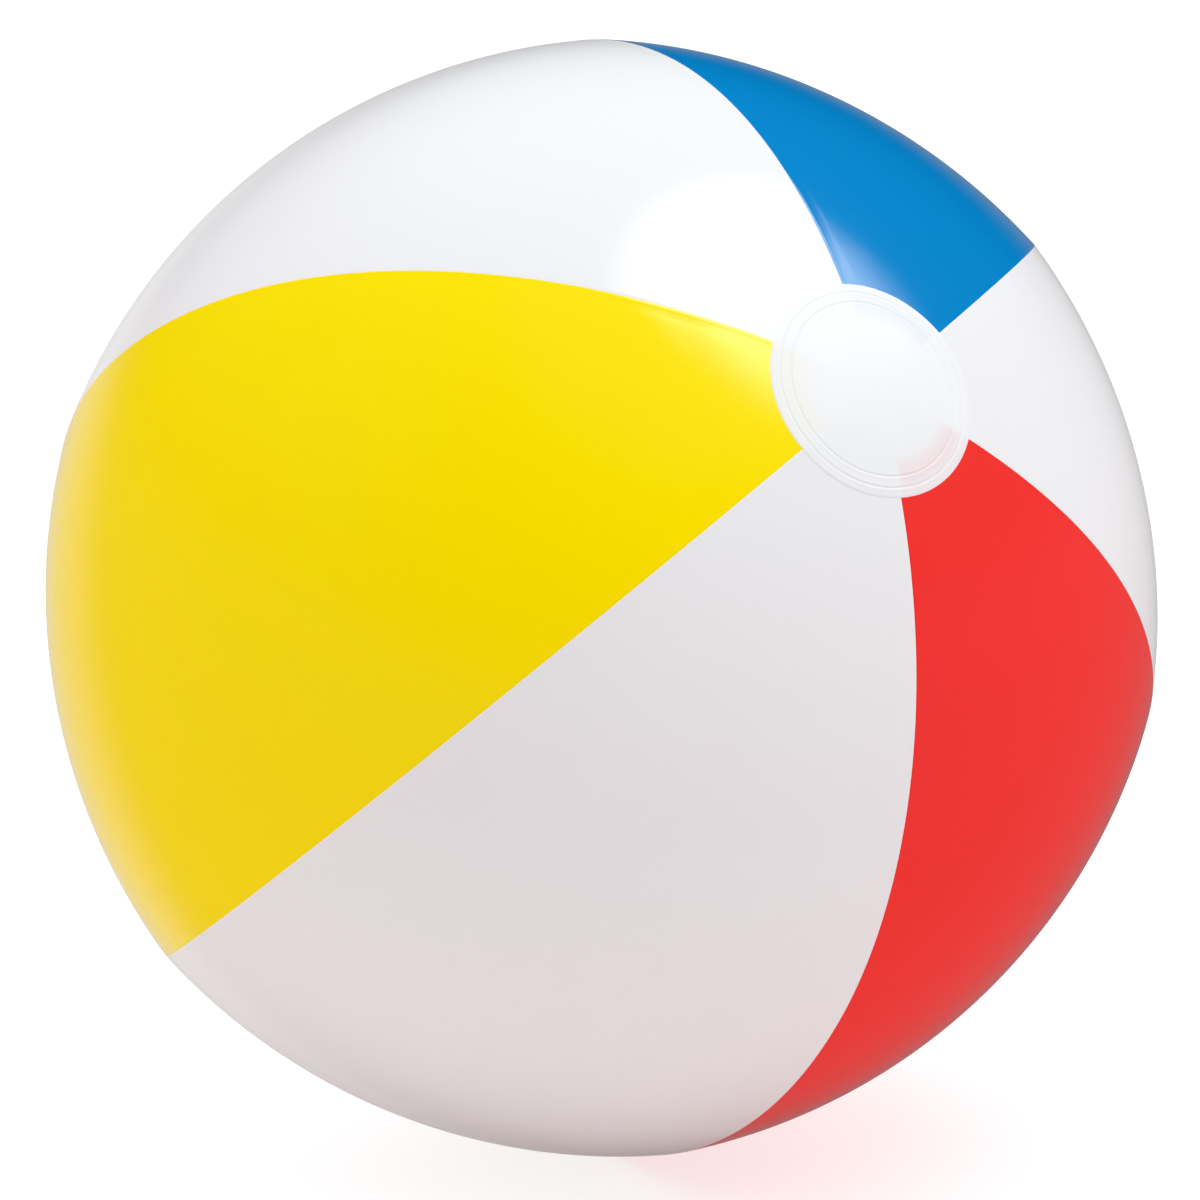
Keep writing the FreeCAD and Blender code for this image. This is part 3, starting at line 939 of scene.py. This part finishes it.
def falling_light(nodes, links, sky, height):
    """The room's light: brighter overhead and behind the ball, and dark behind the camera."""
    ramp = nodes.new("ShaderNodeValToRGB")
    ramp.color_ramp.elements[0].position = 0.0
    ramp.color_ramp.elements[0].color = (*HORIZON_LIGHT, 1)
    ramp.color_ramp.elements[1].position = OVERHEAD_FROM
    ramp.color_ramp.elements[1].color = (*OVERHEAD_LIGHT, 1)
    links.new(height, ramp.inputs["Fac"])
    away = pointing(nodes, links, sky, -direction(CAMERA_AZIMUTH, CAMERA_ELEVATION))
    in_front = ranged(nodes, links, away, *FRONT_EDGE, 0, 1)
    shaded = mixed(nodes, links, in_front, ramp.outputs["Color"], FRONT_SHADE, "MULTIPLY")
    behind = ranged(nodes, links, away, *BACKDROP_EDGE, 0, 1)
    return mixed(nodes, links, behind, shaded, BACKDROP_LIGHT, "ADD")


def mirrored_light(nodes, links, sky, height):
    """What the skin mirrors of the room: dim walls, a brighter patch behind the ball and a dark ceiling."""
    patch = pointing(nodes, links, sky, direction(PATCH_AZIMUTH, PATCH_ELEVATION))
    shine = nodes.new("ShaderNodeMath")
    shine.operation = "MULTIPLY"
    links.new(ranged(nodes, links, patch, *PATCH_EDGE, WALL_SHINE, PATCH_SHINE), shine.inputs[0])
    links.new(ranged(nodes, links, height, *CEILING_EDGE, 1.0, CEILING_SHINE), shine.inputs[1])
    return shine.outputs["Value"]


def add_world():
    """A pale studio round the ball, which lights the skin one way and is mirrored in it another."""
    world = bpy.data.worlds.new("studio")
    world.use_nodes = True
    nodes, links = world.node_tree.nodes, world.node_tree.links
    sky = nodes.new("ShaderNodeTexCoord").outputs["Generated"]
    split = nodes.new("ShaderNodeSeparateXYZ")
    links.new(sky, split.inputs["Vector"])
    height = split.outputs["Z"]
    glossy = nodes.new("ShaderNodeLightPath").outputs["Is Glossy Ray"]
    falling = falling_light(nodes, links, sky, height)
    mirrored = mirrored_light(nodes, links, sky, height)
    links.new(mixed(nodes, links, glossy, falling, mirrored), nodes["Background"].inputs["Color"])
    world.cycles.sampling_method = "NONE"    # the two differ, so the sky isn't sampled as a lamp
    bpy.context.scene.world = world


add_camera()
add_floor()
fill_place = direction(FILL_AZIMUTH, FILL_ELEVATION) * FILL_DISTANCE
add_softbox("fill", fill_place, FILL_SIZE, FILL_RADIANCE, FILL_COLOUR, shines=False)
for k, size in enumerate(KEY_SIZES):
    key_place = direction(KEY_AZIMUTH, KEY_ELEVATION) * (KEY_DISTANCE + k * KEY_SPACING)
    add_softbox(f"key_{k + 1}", key_place, size, KEY_RADIANCE / len(KEY_SIZES), lights=False)
add_world()
bpy.context.scene.view_settings.view_transform = "Standard"
